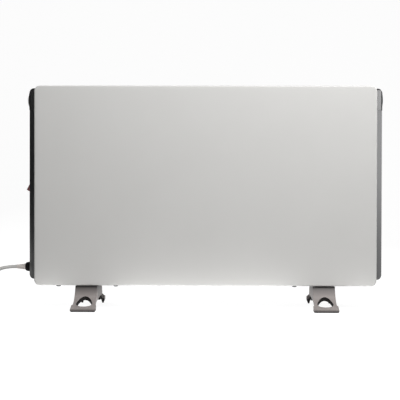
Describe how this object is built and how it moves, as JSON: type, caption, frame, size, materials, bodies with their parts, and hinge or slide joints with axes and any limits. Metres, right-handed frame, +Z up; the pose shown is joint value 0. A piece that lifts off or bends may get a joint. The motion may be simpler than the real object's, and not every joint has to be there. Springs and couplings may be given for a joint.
{
  "type": "panel convector heater",
  "caption": "Electric panel convector heater: flat metal front, dark end covers with dial and rocker switch, arched cast feet, top outlet grille, mains cord with plug.",
  "frame": {"origin": "on the floor under the middle of the heater", "axes": "+X along the panel to the viewer's right, +Y from the front panel towards the wall, +Z up"},
  "size_m": [0.949, 0.2368, 0.4465],
  "materials": {
    "panel_paint": "satin light grey powder coat",
    "shell_paint": "fine matt graphite powder coat",
    "graphite_plastic": "satin moulded graphite plastic",
    "black_plastic": "semi-gloss black plastic",
    "red_plastic": "translucent-looking deep red plastic",
    "cast_metal": "satin die-cast metal with a warm graphite tone",
    "zinc_steel": "zinc-plated sheet steel",
    "screw_steel": "blackened steel",
    "bright_steel": "nickel-plated metal",
    "fin_aluminium": "extruded mill finish",
    "ceramic": "unglazed off-white ceramic",
    "pale_rubber": "pale grey soft sleeve",
    "black_rubber": "matt black rubber",
    "cord_pvc": "light grey round mains cord",
    "tie_plastic": "black strap",
    "wire_plastic": "insulated wire"
  },
  "bodies": {
    "heater": {"blank_dial": "black_plastic", "cable_gland": "black_plastic", "cheek_screws": "screw_steel", "cord_coil": "cord_pvc", "cord_end": "cord_pvc", "cord_lead": "cord_pvc", "cord_tie": "tie_plastic", "cover_screws": "screw_steel", "earth_screw": "bright_steel", "element_brackets": "zinc_steel", "element_core": "bright_steel", "element_insulators": "ceramic", "element_terminals": "bright_steel", "foot_left": "cast_metal", "foot_nuts": "bright_steel", "foot_pads": "black_rubber", "foot_right": "cast_metal", "foot_screws": "bright_steel", "front_panel": "panel_paint", "gland_nut": "black_plastic", "heat_shield": "zinc_steel", "heating_element": "fin_aluminium", "left_cheek": "graphite_plastic", "left_end_plate": "zinc_steel", "left_pod": "black_plastic", "outlet_grille": "shell_paint", "panel_brackets": "zinc_steel", "panel_hooks": "zinc_steel", "panel_screws": "screw_steel", "plug_body": "cord_pvc", "plug_earth_clips": "bright_steel", "plug_pins": "bright_steel", "rear_cover": "shell_paint", "right_cheek": "graphite_plastic", "right_end_plate": "zinc_steel", "right_pod": "black_plastic", "strain_relief": "pale_rubber", "switch_housing": "black_plastic", "switch_terminals": "bright_steel", "terminal_block": "ceramic", "thermal_cutout": "black_plastic", "thermostat_body": "ceramic", "thermostat_bulb": "bright_steel", "tilt_switch": "ceramic", "wiring": "wire_plastic"},
    "thermostat_dial": {"thermostat_knob": "black_plastic", "thermostat_spindle": "bright_steel"},
    "rocker": {"switch_rocker": "red_plastic"}
  },
  "joints": [
    {"name": "thermostat_turn", "type": "hinge", "parent": "heater", "child": "thermostat_dial", "pos_m": [-0.355, 0.01, 0.4204], "axis": [-1, 0, 0], "range_deg": [0, 270]},
    {"name": "switch_rock", "type": "hinge", "parent": "heater", "child": "rocker", "pos_m": [-0.3515, 0.01, 0.251], "axis": [0, -1, 0], "range_deg": [0, 28.5]}
  ]
}
